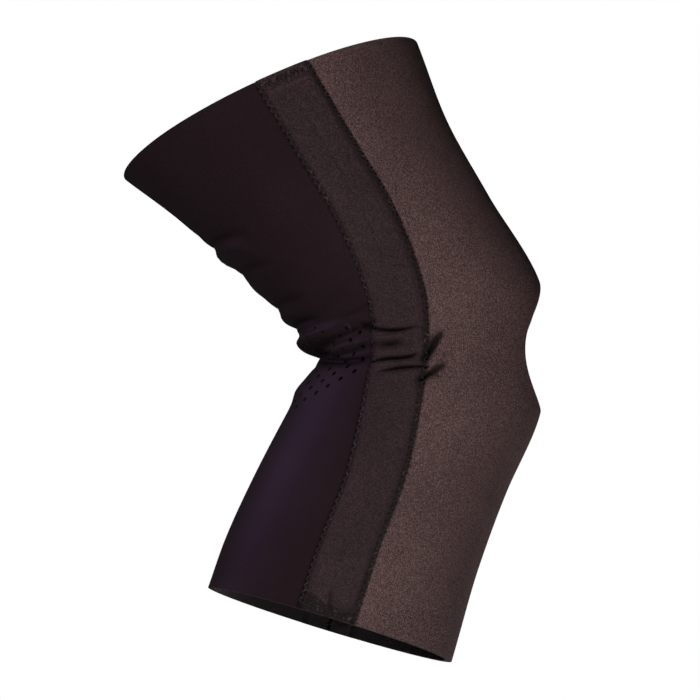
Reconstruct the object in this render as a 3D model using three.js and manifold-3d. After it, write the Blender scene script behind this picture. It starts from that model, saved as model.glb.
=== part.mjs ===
// An open-patella knee sleeve, worn on a knee bent by about 54 degrees, in millimetres.
//
// +X points forward (the kneecap side), +Y to the wearer's left and +Z up. The origin is on the knee's
// flexion axis, which runs along Y.
//
// The sleeve is a row of flat cross-sections, the stations, each an ellipse in a plane that holds the Y
// direction. A place on the sleeve is (station, angle, height): station runs from 0 at the thigh rim to
// 8 at the calf rim, angle goes round from 0 at the front to 90 at the wearer's left and -90 at the
// right, in degrees, and height is how far the place stands off the outer face of the neoprene.
// Every piece is a box bent on to those three.

import * as THREE from 'three';
import * as BufferGeometryUtils from 'three/addons/utils/BufferGeometryUtils.js';
import Module from 'manifold-3d';

// ---- driving dimensions ----

// Each station: front point (x, z), back point (x, z), half width, and the angle of the side tape's middle.
const STATIONS = [
  [-3, 163, -158, 92, 75, 85],
  [13, 120, -128, 69, 71, 86.5],
  [34, 81, -92, 36, 65, 91.5],
  [60, 36, -67, 10, 58, 101.5],
  [61, 2, -57, -6, 55, 106],
  [60, -33, -64, -19, 55, 103.5],
  [42, -75, -87, -63, 58, 92.5],
  [27, -115, -103, -98, 60, 91],
  [13, -162, -112, -124, 59, 91.5],
];
const THIGH_RIM = 0;
const CALF_RIM = 8;

const WALL = 3.5; // knit-faced neoprene
const GAP = 0.3; // between pieces that are sewn or lie face to face
const STATION_GAP = 0.005; // half the gap between pieces that follow each other down the leg, in stations

// The kneecap opening, an oval on the front of the sleeve, wider below its middle than above.
const HOLE_TOP = 3;
const HOLE_BOTTOM = 5;
const HOLE_HALF_ANGLE = 33.5;
const HOLE_SKEW = 0.3;

// Where the part of the sleeve that bends with the knee starts and ends, on the back and under the tape.
const BACK_BEND = [2.6, 5.45];
const TAPE_BEND = [2.7, 5.3];

// The pocket tape down each side: a flat flange sewn down along both edges, with the stays' pocket between.
const TAPE_HALF_WIDTH = 14.3;
const TAPE_FLANGE = 2.3;
const TAPE_RAMP = 0.8;
const TAPE_THICKNESS = 0.9;
const POCKET_HEIGHT = 3; // underside of the tape over the stays
const POCKET_RISE = [0.14, 0.27]; // stations over which the pocket opens below the thigh rim
const POCKET_FALL = [7.76, 7.85]; // and closes above the calf rim

// Two flat spiral stays side by side in each pocket, with a crimped cap on each end. The rear one is shorter.
const STAY_WIDTH = 9;
const STAY_SPACING = 10.8;
const STAY_HEIGHTS = [0.9, 2.1];
const STAY_ENDS = { front: [0.34, 7.68], rear: [0.34, 7.45] };
const CAP_WIDTH = 10.4;
const CAP_HEIGHTS = [0.3, 2.7];
const CAP_WALL = 0.4;
const CAP_LENGTH = 0.22; // in stations, about 8.5 mm
const CAP_END_WALL = 0.03; // in stations, past the stay's end

// Stitching.
const SEAM_THICKNESS = 0.4;
const SEAM_WIDTH = 1.7;
const BUTT_SEAM_WIDTH = 1.4;
const TOP_CLOSURE = [0.05, 0.11];
const BOTTOM_CLOSURE = [7.89, 7.96];
const CLOSURE_HALF_WIDTH = 11;

const SIDES = { right: -1, left: 1 };

// ---- materials ----

const finish = (color, roughness, metalness = 0) => new THREE.MeshStandardMaterial({ color, roughness, metalness });
const FRONT_NEOPRENE = finish(0x3e3234, 0.85);
const BACK_NEOPRENE = finish(0x21181b, 0.8);
const TAPE_FABRIC = finish(0x372f32, 0.85);
const THREAD = finish(0x1c1618, 0.6);
const STAY_STEEL = finish(0xb8babd, 0.35, 1);
const CAP_STEEL = finish(0xd0d2d4, 0.3, 1);

// ---- the surface ----

const radians = THREE.MathUtils.degToRad;

// The station values at any place down the leg, on the Catmull-Rom curve through the rows.
function valuesAt(station) {
  const last = STATIONS.length - 1;
  const i = Math.min(Math.floor(station), last - 1);
  const t = station - i;
  return STATIONS[0].map((_, k) => {
    const row = (n) => {
      if (n < 0) return 2 * STATIONS[0][k] - STATIONS[1][k];
      if (n > last) return 2 * STATIONS[last][k] - STATIONS[last - 1][k];
      return STATIONS[n][k];
    };
    const [p0, p1, p2, p3] = [row(i - 1), row(i), row(i + 1), row(i + 2)];
    const [slope1, slope2] = [(p2 - p0) / 2, (p3 - p1) / 2];
    return (
      (2 * t ** 3 - 3 * t ** 2 + 1) * p1 +
      (t ** 3 - 2 * t ** 2 + t) * slope1 +
      (3 * t ** 2 - 2 * t ** 3) * p2 +
      (t ** 3 - t ** 2) * slope2
    );
  });
}

// The ellipse at a station: its centre, the unit direction from back to front, and its two half axes.
function sectionAt(station) {
  const [frontX, frontZ, backX, backZ, halfWidth, tapeAngle] = valuesAt(station);
  const front = new THREE.Vector3(frontX, 0, frontZ);
  const back = new THREE.Vector3(backX, 0, backZ);
  const centre = front.clone().add(back).multiplyScalar(0.5);
  const halfDepth = front.distanceTo(back) / 2;
  const forward = front.sub(back).normalize();
  return { centre, forward, halfDepth, halfWidth, tapeAngle };
}

function surfacePoint(station, angle, height) {
  const { centre, forward, halfDepth, halfWidth } = sectionAt(station);
  const [cos, sin] = [Math.cos(radians(angle)), Math.sin(radians(angle))];
  const outward = new THREE.Vector2(cos / halfDepth, sin / halfWidth).normalize();
  const along = halfDepth * cos + height * outward.x;
  const sideways = halfWidth * sin + height * outward.y;
  return centre.addScaledVector(forward, along).setY(sideways);
}

// The angle at a distance from the tape's middle line, in mm round the left side, towards the back.
function angleBesideTape(station, distance) {
  const { halfDepth, halfWidth, tapeAngle } = sectionAt(station);
  const [cos, sin] = [Math.cos(radians(tapeAngle)), Math.sin(radians(tapeAngle))];
  const radius = Math.hypot(halfDepth * sin, halfWidth * cos);
  return tapeAngle + THREE.MathUtils.radToDeg(distance / radius);
}

// Stations from one to another: both ends, and the common ones between them, closer together at the knee.
function stationsBetween(from, to, extra = []) {
  const common = [];
  for (let s = 0.5; s < CALF_RIM; s += s >= 2.5 && s < 5.5 ? 0.25 : 0.5) common.push(s);
  const margin = 0.02;
  const inside = common.filter((s) => s > from + margin && s < to - margin);
  return [...new Set([from, ...extra, ...inside, to])].sort((a, b) => a - b);
}

function spread(from, to, steps) {
  return Array.from({ length: steps + 1 }, (_, i) => from + ((to - from) * i) / steps);
}

// A box bent on to the sleeve. anglesAt(station) lists the places round the leg, from lowest to highest,
// and heightsAt(station, i) gives the lower and the upper face at the i-th of them.
function bentBox(stations, anglesAt, heightsAt) {
  const across = anglesAt(stations[0]).length - 1;
  const along = stations.length - 1;
  const geometry = new THREE.BoxGeometry(1, 1, 1, across, along, 1);
  const places = geometry.attributes.position;
  for (let n = 0; n < places.count; n++) {
    const i = Math.round((places.getX(n) + 0.5) * across);
    const station = stations[Math.round((0.5 - places.getY(n)) * along)];
    const [lower, upper] = heightsAt(station, i);
    const point = surfacePoint(station, anglesAt(station)[i], places.getZ(n) > 0 ? upper : lower);
    places.setXYZ(n, point.x, point.y, point.z);
  }
  geometry.deleteAttribute('uv');
  geometry.computeVertexNormals();
  return geometry;
}

// A bent box beside the tape's middle line on one side of the leg: distances in mm, towards the back.
function besideTape(side, stations, distancesAt, heightsAt) {
  const anglesAt = (station) => {
    const angles = distancesAt(station).map((distance) => side * angleBesideTape(station, distance));
    return side > 0 ? angles : angles.reverse();
  };
  return bentBox(stations, anglesAt, heightsAt);
}

const sleeve = new THREE.Group();

function add(name, geometry, material) {
  const mesh = new THREE.Mesh(geometry, material);
  mesh.name = name;
  sleeve.add(mesh);
}

// ---- neoprene panels ----

const wallHeights = () => [-WALL, 0];
const seamHalfGap = BUTT_SEAM_WIDTH / 2 + GAP;

// The front panel runs from tape to tape round the front, above and below the kneecap opening.
function frontPanel(from, to) {
  const anglesAt = (station) => {
    const edge = angleBesideTape(station, -seamHalfGap);
    return spread(-edge, edge, 16);
  };
  return bentBox(stationsBetween(from, to), anglesAt, wallHeights);
}

// The back panel runs from tape to tape round the back.
function backPanel(from, to) {
  const anglesAt = (station) => {
    const edge = angleBesideTape(station, seamHalfGap);
    return spread(edge, 360 - edge, 14);
  };
  return bentBox(stationsBetween(from, to), anglesAt, wallHeights);
}

// The neoprene between the kneecap opening and the tape, on one side.
function holeBridge(side) {
  const middle = (HOLE_TOP + HOLE_BOTTOM) / 2;
  const halfHeight = (HOLE_BOTTOM - HOLE_TOP) / 2;
  const reach = halfHeight - STATION_GAP;
  const stations = spread(-90, 90, 14).map((turn) => middle + reach * Math.sin(radians(turn)));
  const anglesAt = (station) => {
    const drop = (station - middle) / halfHeight;
    const holeEdge = HOLE_HALF_ANGLE * Math.sqrt(1 - drop ** 2) * (1 + HOLE_SKEW * drop);
    const angles = spread(holeEdge, angleBesideTape(station, -seamHalfGap), 6);
    return side > 0 ? angles : angles.map((angle) => -angle).reverse();
  };
  return bentBox(stations, anglesAt, wallHeights);
}

add('thigh_front_panel', frontPanel(THIGH_RIM, HOLE_TOP - STATION_GAP), FRONT_NEOPRENE);
add('calf_front_panel', frontPanel(HOLE_BOTTOM + STATION_GAP, CALF_RIM), FRONT_NEOPRENE);
add('thigh_back_panel', backPanel(THIGH_RIM, BACK_BEND[0] - STATION_GAP), BACK_NEOPRENE);
add('popliteal_panel', backPanel(BACK_BEND[0] + STATION_GAP, BACK_BEND[1] - STATION_GAP), BACK_NEOPRENE);
add('calf_back_panel', backPanel(BACK_BEND[1] + STATION_GAP, CALF_RIM), BACK_NEOPRENE);
for (const [name, side] of Object.entries(SIDES)) add(`${name}_patella_bridge`, holeBridge(side), FRONT_NEOPRENE);

// ---- pocket tapes ----

// How far the pocket is open at a station, from 0 to 1.
function pocketOpen(station) {
  const { smoothstep } = THREE.MathUtils;
  return smoothstep(station, ...POCKET_RISE) * (1 - smoothstep(station, ...POCKET_FALL));
}

function tape(side, from, to) {
  const flange = TAPE_HALF_WIDTH - TAPE_FLANGE;
  const overPocket = spread(TAPE_RAMP - flange, flange - TAPE_RAMP, 4);
  const distances = [-TAPE_HALF_WIDTH, -flange, ...overPocket, flange, TAPE_HALF_WIDTH];
  const heightsAt = (station, i) => {
    const overStays = i >= 2 && i <= 6;
    const lower = overStays ? THREE.MathUtils.lerp(GAP, POCKET_HEIGHT, pocketOpen(station)) : GAP;
    return [lower, lower + TAPE_THICKNESS];
  };
  const pocketEnds = [...POCKET_RISE, ...POCKET_FALL].filter((s) => s > from && s < to);
  return besideTape(side, stationsBetween(from, to, pocketEnds), () => distances, heightsAt);
}

for (const [name, side] of Object.entries(SIDES)) {
  add(`${name}_thigh_tape`, tape(side, THIGH_RIM, TAPE_BEND[0] - STATION_GAP), TAPE_FABRIC);
  add(`${name}_knee_tape`, tape(side, TAPE_BEND[0] + STATION_GAP, TAPE_BEND[1] - STATION_GAP), TAPE_FABRIC);
  add(`${name}_calf_tape`, tape(side, TAPE_BEND[1] + STATION_GAP, CALF_RIM), TAPE_FABRIC);
}

// ---- stays and their caps ----

function flatBar(side, stations, middle, width, heights, steps = 1) {
  const distances = spread(middle - width / 2, middle + width / 2, steps);
  return besideTape(side, stations, () => distances, () => heights);
}

const manifold = await Module();
manifold.setup();

function solid(geometry) {
  const bare = geometry.clone();
  bare.deleteAttribute('normal');
  const merged = BufferGeometryUtils.mergeVertices(bare);
  const mesh = new manifold.Mesh({
    numProp: 3,
    vertProperties: Float32Array.from(merged.attributes.position.array),
    triVerts: Uint32Array.from(merged.index.array),
  });
  return new manifold.Manifold(mesh);
}

function geometryOf(body) {
  const { vertProperties, triVerts } = body.getMesh();
  const geometry = new THREE.BufferGeometry();
  geometry.setAttribute('position', new THREE.BufferAttribute(vertProperties, 3));
  geometry.setIndex(new THREE.BufferAttribute(triVerts, 1));
  geometry.computeVertexNormals();
  return geometry;
}

// A cap crimped over a stay's end: a flat cup, closed and rounded at its outer end. inward is 1 for a cap
// at the top of a stay and -1 for one at the bottom.
function cap(side, middle, stayEnd, inward) {
  const closed = stayEnd - inward * (CAP_END_WALL + STATION_GAP * 2);
  const stations = [0, 0.012, 0.04, 0.09, CAP_LENGTH].map((step) => closed + inward * step);
  const shares = [0.62, 0.84, 0.97, 1, 1]; // of the full width, round the closed end
  if (inward < 0) {
    stations.reverse();
    shares.reverse();
  }
  const distancesAt = (station) => {
    const half = (CAP_WIDTH / 2) * shares[stations.indexOf(station)];
    return [middle - half, middle, middle + half];
  };
  const outer = besideTape(side, stations, distancesAt, () => CAP_HEIGHTS);
  const inside = [closed + inward * CAP_END_WALL, closed + inward * (CAP_LENGTH + CAP_END_WALL)];
  const slotHeights = [CAP_HEIGHTS[0] + CAP_WALL, CAP_HEIGHTS[1] - CAP_WALL];
  const slotStations = inside.sort((a, b) => a - b);
  const slot = flatBar(side, slotStations, middle, CAP_WIDTH - 2 * CAP_WALL, slotHeights, 2);
  return geometryOf(solid(outer).subtract(solid(slot)));
}

for (const [name, side] of Object.entries(SIDES)) {
  for (const [place, middle] of [['front', -STAY_SPACING / 2], ['rear', STAY_SPACING / 2]]) {
    const [top, bottom] = STAY_ENDS[place];
    const stations = stationsBetween(top, bottom, [top + CAP_LENGTH, bottom - CAP_LENGTH]);
    add(`${name}_${place}_stay`, flatBar(side, stations, middle, STAY_WIDTH, STAY_HEIGHTS), STAY_STEEL);
    add(`${name}_${place}_stay_upper_cap`, cap(side, middle, top, 1), CAP_STEEL);
    add(`${name}_${place}_stay_lower_cap`, cap(side, middle, bottom, -1), CAP_STEEL);
  }
}

// ---- stitching ----

const tapeSeamHeights = [GAP + TAPE_THICKNESS + GAP, GAP + TAPE_THICKNESS + GAP + SEAM_THICKNESS];
const seamMiddle = TAPE_HALF_WIDTH - TAPE_FLANGE / 2;

for (const [name, side] of Object.entries(SIDES)) {
  const whole = stationsBetween(THIGH_RIM, CALF_RIM);
  for (const [place, middle] of [['front', -seamMiddle], ['rear', seamMiddle]]) {
    add(`${name}_${place}_tape_seam`, flatBar(side, whole, middle, SEAM_WIDTH, tapeSeamHeights), THREAD);
  }
  const buttHeights = [GAP - WALL, -GAP];
  add(`${name}_panel_seam`, flatBar(side, whole, 0, BUTT_SEAM_WIDTH, buttHeights), THREAD);
  const width = 2 * CLOSURE_HALF_WIDTH;
  add(`${name}_pocket_top_stitch`, flatBar(side, TOP_CLOSURE, 0, width, tapeSeamHeights, 4), THREAD);
  add(`${name}_pocket_bottom_stitch`, flatBar(side, BOTTOM_CLOSURE, 0, width, tapeSeamHeights, 4), THREAD);
}

export default sleeve;
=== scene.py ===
"""The looks of an open-patella knee sleeve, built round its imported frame.

Metres, +X forward, +Y to the wearer's left, +Z up, with the origin on the knee's flexion axis.

A place on the sleeve is (station, angle, height). Station runs from 0 at the thigh rim to 8 at the calf
rim. Angle goes round in degrees, from 0 at the front to 90 at the left and -90 at the right. Height is
how far the place stands off the smooth outer face of the neoprene.
"""

import math

import bpy
import numpy as np
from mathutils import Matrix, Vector


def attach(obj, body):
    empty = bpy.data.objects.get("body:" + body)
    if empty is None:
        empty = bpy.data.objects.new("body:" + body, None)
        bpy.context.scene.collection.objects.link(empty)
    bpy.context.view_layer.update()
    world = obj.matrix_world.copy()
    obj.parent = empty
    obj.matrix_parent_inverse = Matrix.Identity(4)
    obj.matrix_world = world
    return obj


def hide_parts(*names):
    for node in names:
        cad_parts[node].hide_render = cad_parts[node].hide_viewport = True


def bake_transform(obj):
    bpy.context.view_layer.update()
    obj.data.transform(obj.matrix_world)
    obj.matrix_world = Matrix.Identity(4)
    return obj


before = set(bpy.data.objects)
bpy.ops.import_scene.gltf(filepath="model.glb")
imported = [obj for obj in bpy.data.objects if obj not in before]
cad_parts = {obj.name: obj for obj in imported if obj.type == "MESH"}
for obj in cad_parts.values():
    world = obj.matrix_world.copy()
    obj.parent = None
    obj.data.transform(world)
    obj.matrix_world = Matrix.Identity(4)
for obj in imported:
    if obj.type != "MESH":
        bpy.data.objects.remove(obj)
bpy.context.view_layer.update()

MM = 0.001

# ---- the sleeve's smooth shape, the same as the frame's ----

# Each station: front point (x, z), back point (x, z) and half width in mm, and the angle of the side
# tape's middle.
STATIONS = np.array(
    [
        [-3, 163, -158, 92, 75, 85],
        [13, 120, -128, 69, 71, 86.5],
        [34, 81, -92, 36, 65, 91.5],
        [60, 36, -67, 10, 58, 101.5],
        [61, 2, -57, -6, 55, 106],
        [60, -33, -64, -19, 55, 103.5],
        [42, -75, -87, -63, 58, 92.5],
        [27, -115, -103, -98, 60, 91],
        [13, -162, -112, -124, 59, 91.5],
    ]
)
STATIONS[:, :5] *= MM
CALF_RIM = len(STATIONS) - 1.0

WALL = 3.5 * MM
COVER = 0.4 * MM  # the knit faces glued to the foam

# The kneecap opening, an oval between two stations, wider below its middle than above.
HOLE_TOP, HOLE_BOTTOM = 3.0, 5.0
HOLE_HALF_ANGLE = 33.5
HOLE_SKEW = 0.3

TAPE_HALF_WIDTH = 14.3 * MM
TAPE_THICKNESS = 0.9 * MM
TAPE_LIFT = 0.3 * MM  # the tape's underside over the panels
POCKET_LIFT = 3.1 * MM  # and over the stays
BUTT_HALF_GAP = 1.0 * MM  # between the front and back panels' edges

STAY_SPACING = 10.8 * MM
STAY_WIDTH = 9 * MM
STAY_MIDDLE_HEIGHT = 1.5 * MM
STAY_THICKNESS = 1.2 * MM
STAY_ENDS = {"front": (0.34, 7.68), "rear": (0.34, 7.45)}  # stations
TAPE_SIGNS = {"front": -1, "rear": 1}  # of distances from the tape's middle line

SIDES = {"right": -1, "left": 1}


def steps_along(points):
    """The distance from each of these points, or rows of points, to the next."""
    return np.linalg.norm(np.diff(points, axis=0), axis=-1)


def lengths_along(points):
    """The distance along these points from the first to each."""
    return np.concatenate([[0], np.cumsum(steps_along(points))])


def curve_through(rows, at):
    """The values at these places on the Catmull-Rom curve through rows, which it meets at 0, 1, 2 ..."""
    first, last = 2 * rows[0] - rows[1], 2 * rows[-1] - rows[-2]
    padded = np.vstack([first, rows, last])
    i = np.clip(np.floor(at).astype(int), 0, len(rows) - 2)
    t = (at - i)[..., None]
    p0, p1, p2, p3 = padded[i], padded[i + 1], padded[i + 2], padded[i + 3]
    slope1, slope2 = (p2 - p0) / 2, (p3 - p1) / 2
    return (
        (2 * t**3 - 3 * t**2 + 1) * p1
        + (t**3 - 2 * t**2 + t) * slope1
        + (3 * t**2 - 2 * t**3) * p2
        + (t**3 - t**2) * slope2
    )


def values_at(station):
    """The six station values at each place down the leg."""
    return curve_through(STATIONS, np.asarray(station, float))


def place(station, angle, height=0.0):
    """The points at these places on the sleeve."""
    station, angle, height = np.broadcast_arrays(station, angle, height)
    values = values_at(station)
    front, back, half_width = values[..., 0:2], values[..., 2:4], values[..., 4]
    centre, span = (front + back) / 2, front - back
    half_depth = np.linalg.norm(span, axis=-1) / 2
    forward = span / (2 * half_depth[..., None])
    cos, sin = np.cos(np.radians(angle)), np.sin(np.radians(angle))
    out_along, out_side = cos / half_depth, sin / half_width
    length = np.hypot(out_along, out_side)
    along = half_depth * cos + height * out_along / length
    side = half_width * sin + height * out_side / length
    x = centre[..., 0] + forward[..., 0] * along
    z = centre[..., 1] + forward[..., 1] * along
    return np.stack([x, side, z], axis=-1)


def beside_tape(station, distance):
    """The angle at a distance from the left tape's middle line, which is positive towards the back."""
    values = values_at(station)
    half_depth = np.linalg.norm(values[..., 0:2] - values[..., 2:4], axis=-1) / 2
    half_width, middle = values[..., 4], values[..., 5]
    cos, sin = np.cos(np.radians(middle)), np.sin(np.radians(middle))
    radius = np.hypot(half_depth * sin, half_width * cos)
    return middle + np.degrees(distance / radius)


def from_tape(station, angle):
    """The distance of a place from the nearer tape's middle line, positive towards the back."""
    middle = beside_tape(station, 0.0)
    degrees_per_mm = beside_tape(station, 1 * MM) - middle
    return (np.abs(angle) - middle) / degrees_per_mm * MM


# The tape's middle line, in steps fine enough to measure lengths along it.
FINE_STATIONS = np.linspace(0, CALF_RIM, 4001)
TAPE_LINE = place(FINE_STATIONS, beside_tape(FINE_STATIONS, 0.0))
TAPE_LENGTHS = lengths_along(TAPE_LINE)


def length_down(station):
    """The distance down the tape's middle line from the thigh rim."""
    return np.interp(station, FINE_STATIONS, TAPE_LENGTHS)


def station_at(length):
    """The station at a distance down the tape's middle line, the opposite of length_down."""
    return np.interp(length, TAPE_LENGTHS, FINE_STATIONS)


def smooth(value, low, high):
    """0 up to low and 1 from high on, with an even S between them."""
    t = np.clip((value - low) / (high - low), 0, 1)
    return t * t * (3 - 2 * t)


# ---- folds, creases and unevenness of the cloth ----

# Each fold: its path of (station, angle), its half width and its rise in mm, the power that shapes its
# sides (2 is round, 1 is pinched), and how much of its rise is left at its start and at its end. Both
# sides of the sleeve have them.
FOLDS = [
    # the crease behind the knee, the roll of cloth that overhangs it, and the fuller cloth below it
    ([(4.02, 180), (4.12, 168), (4.4, 150), (4.52, 133), (4.44, 119)], 2.1, -3.8, 1.2, 0.17, 0.45),
    ([(3.38, 180), (3.42, 163), (3.44, 146), (3.4, 130)], 4.4, 5.2, 2.6, 1, 0),
    ([(3.84, 180), (3.92, 166), (4.08, 150)], 1.9, -3.2, 1.6, 1, 0.2),
    ([(5.08, 180), (5.14, 162), (5.2, 146)], 6.0, 1.7, 2.0, 1, 0),
    # wrinkles fanning from the crease to the tape
    ([(3.8, 170), (3.74, 152), (3.6, 137), (3.5, 126), (3.46, 116)], 1.7, -1.9, 1.3, 0.1, 0.9),
    ([(4.0, 156), (3.98, 142), (3.92, 129), (3.84, 118)], 2.2, 1.5, 2.0, 0, 0.7),
    ([(4.2, 154), (4.18, 140), (4.12, 128), (4.02, 117)], 1.3, -1.9, 1.2, 0, 0.7),
    ([(4.1, 132), (3.94, 125), (3.8, 117)], 1.2, 1.5, 2.0, 0, 0.3),
    ([(3.76, 146), (3.72, 136), (3.64, 126)], 1.3, 1.5, 2.0, 0, 0),
    ([(3.36, 146), (3.18, 127), (3.06, 115)], 3.0, -1.3, 1.8, 0, 0.4),
    ([(3.24, 140), (3.3, 130), (3.26, 120)], 2.4, 1.0, 2.0, 0, 0),
    ([(2.95, 150), (2.84, 132), (2.8, 120)], 4.0, -0.7, 2.0, 0, 0),
    # the scalloped back of the thigh
    ([(1.2, 180), (1.28, 162)], 3.0, -0.5, 1.6, 1, 0),
    ([(1.42, 180), (1.48, 160), (1.62, 140)], 2.6, -1.7, 1.6, 1, 0),
    ([(1.58, 180), (1.66, 158), (1.76, 146)], 3.0, 2.2, 2.0, 1, 0),
    ([(1.82, 180), (1.92, 160), (2.02, 142)], 3.2, -1.4, 1.6, 1, 0),
    ([(2.08, 180), (2.18, 160)], 4.0, 0.8, 2.0, 1, 0),
    ([(2.46, 180), (2.54, 158), (2.64, 142)], 3.0, -1.5, 1.6, 1, 0),
    ([(2.7, 180), (2.78, 158)], 2.8, 1.7, 2.0, 1, 0),
    ([(2.89, 180), (2.96, 160), (3.02, 144)], 2.2, -2.0, 1.5, 1, 0),
    # the tape, gathered into an eye between two creases
    ([(3.5, 124), (3.7, 114), (3.78, 106), (3.73, 94)], 0.9, -3.6, 1.3, 0.9, 0.1),
    ([(3.9, 117), (3.93, 110), (3.88, 101)], 1.4, 1.8, 2.0, 0.6, 0),
    ([(4.06, 118), (4.1, 110), (4.06, 103)], 2.4, -1.8, 2.0, 0.6, 0.3),
    ([(4.36, 117), (4.34, 108), (4.14, 98)], 2.6, 2.2, 2.2, 0.3, 0),
    ([(4.62, 119), (4.55, 110), (4.5, 101), (4.34, 95)], 0.9, -3.6, 1.3, 0.7, 0.1),
    ([(4.68, 114), (4.64, 104), (4.58, 96)], 1.2, 1.5, 2.0, 0.2, 0),
    ([(4.86, 113), (4.76, 102), (4.68, 91)], 0.85, -3.2, 1.3, 0.2, 0.8),
    ([(4.98, 110), (4.88, 102), (4.8, 94)], 1.6, 0.9, 2.0, 0, 0),
    # two puckers in front of the tape
    ([(4.52, 93), (4.3, 90.5), (4.06, 87.5), (3.84, 83)], 1.9, -4.0, 1.5, 0.7, 0),
    ([(4.4, 96), (4.14, 93), (3.9, 90)], 1.8, 1.8, 2.0, 0.2, 0),
    ([(4.1, 85), (3.96, 82)], 1.6, 1.2, 2.0, 0, 0),
    ([(4.94, 92), (4.8, 88.5), (4.7, 85.5), (4.56, 81)], 1.6, -4.2, 1.4, 0.8, 0),
    ([(4.7, 91), (4.54, 86), (4.42, 81)], 2.6, 2.0, 2.0, 0.3, 0),
    ([(4.82, 87), (4.84, 83)], 1.2, -1.8, 1.5, 0.6, 0),
    # sewn down hard round the lower end of the front stay
    (
        [(7.66, 92.5), (7.82, 91.6), (7.9, 89), (7.915, 86), (7.89, 83), (7.8, 80.6)],
        1.3, -2.4, 1.6, 0.3, 0.3,
    ),
    # long soft drags from the kneecap opening to the tape
    ([(3.3, 36), (3.0, 58), (2.9, 80)], 7.0, 0.7, 2.0, 0, 0),
    ([(4.75, 36), (5.1, 56), (5.2, 78)], 7.0, 0.6, 2.0, 0, 0),
]
FOLD_SAMPLES = 60  # points along each fold
FOLD_REACH = 3  # half widths round a fold's path, outside which it isn't worked out
FOLD_FADE = 0.8  # the power of its fading towards its ends
# The crease depth worked out below is painted into the cloth's colour as shade, darkest in the deepest
# folds.
CREASE_FULL = 1.9 * MM  # a fold this deep has the darkest line along its bottom

# The zigzag along each edge of a tape, and how far it pulls the cloth down.
SEAM_PITCH = 3.9 * MM
SEAM_MIDDLE = TAPE_HALF_WIDTH - 0.3 * MM
SEAM_REACH = 1.15 * MM  # to each side of its middle
SEAM_SINK, SEAM_SINK_WIDTH = 0.2 * MM, 1.5 * MM


def fold_rise(points, path, half_width, rise, power, at_start, at_end):
    """How far one fold lifts each of these points, which are given with y positive."""
    line = curve_through(np.asarray(path, float), np.linspace(0, len(path) - 1, FOLD_SAMPLES))
    line = place(line[:, 0], line[:, 1])
    reach = FOLD_REACH * half_width * MM
    near = np.all((points > line.min(0) - reach) & (points < line.max(0) + reach), axis=-1)
    lifted = np.zeros(points.shape[:-1])
    gaps = np.linalg.norm(points[near][:, None] - line[None], axis=-1)
    nearest = gaps.argmin(axis=1)
    distance = gaps[np.arange(len(gaps)), nearest] / (half_width * MM)
    along = nearest / (FOLD_SAMPLES - 1)
    fade = np.where(along < 0.5, at_start, at_end)
    fade = fade + (1 - fade) * np.sin(math.pi * along) ** FOLD_FADE
    lifted[near] = rise * MM * fade * np.exp(-(distance**power))
    return lifted


def unevenness(points):
    """The slow waviness of stretched cloth, about a fifth of a millimetre."""
    x, y, z = (points[..., k] / MM for k in range(3))
    waves = np.sin(x / 9.1 + 0.7 * np.sin(z / 17)) * np.sin(z / 13.3 + y / 21 + 1.1)
    slow = np.sin(y / 15.7 + z / 29 + 0.4) * np.sin(x / 23 - z / 19)
    return (0.1 * waves + 0.12 * slow) * MM


def relief(station, angle):
    """How far the cloth stands off its smooth shape at each place, and how deep in a crease it is, from
    0 to 1, which the materials turn into painted shade."""
    base = place(station, angle)
    on_left = base * [1, 0, 1] + np.abs(base) * [0, 1, 0]
    lifted = unevenness(base)
    crease = np.zeros(lifted.shape)
    for fold in FOLDS:
        rise = fold_rise(on_left, *fold)
        lifted = lifted + rise
        crease = np.maximum(crease, np.clip(-rise / CREASE_FULL, 0, 1) ** 2)
    off_seam = np.abs(np.abs(from_tape(station, angle)) - SEAM_MIDDLE)
    lifted = lifted - SEAM_SINK * np.exp(-((off_seam / SEAM_SINK_WIDTH) ** 2))
    return lifted, crease


# ---- meshes ----

RULER_POINTS = 3201  # down the sleeve, to measure rows by
OUTER, CORE, INNER = 0, 1, 2  # the order of a shell's materials
TUBE_SIDES = 6
UV_PER_RADIAN = 0.001  # round a tube


def rows_down(angle, steps):
    """Stations whose rows lie about a wanted distance apart, measured down the sleeve at one angle.
    steps lists (from station, wanted distance) in order."""
    fine = np.linspace(0, CALF_RIM, RULER_POINTS)
    middles = (fine[1:] + fine[:-1]) / 2
    wanted = np.zeros(len(middles))
    for start, distance in steps:
        wanted[middles >= start] = distance
    counted = np.concatenate([[0], np.cumsum(steps_along(place(fine, angle)) / wanted)])
    return np.interp(np.linspace(0, counted[-1], math.ceil(counted[-1]) + 1), counted, fine)


def new_object(name, vertices, faces, uv, materials):
    """A smooth-shaded mesh object. vertices and uv have a row for each vertex, and faces is a list."""
    mesh = bpy.data.meshes.new(name)
    mesh.from_pydata(vertices.tolist(), [], faces)
    for material in materials:
        mesh.materials.append(material)
    mesh.polygons.foreach_set("use_smooth", np.ones(len(mesh.polygons), bool))
    layer = mesh.uv_layers.new(name="cloth")
    corners = np.zeros(len(mesh.loops), np.int32)
    mesh.loops.foreach_get("vertex_index", corners)
    layer.data.foreach_set("uv", uv.astype(np.float32)[corners].ravel())
    mesh.update()
    made = bpy.data.objects.new(name, mesh)
    bpy.context.scene.collection.objects.link(made)
    return made


def within_half(angle):
    """The angle of a place on the back panel, or of its mirror image if it is on the right."""
    return np.where(angle > 180, 360 - angle, angle)


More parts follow.
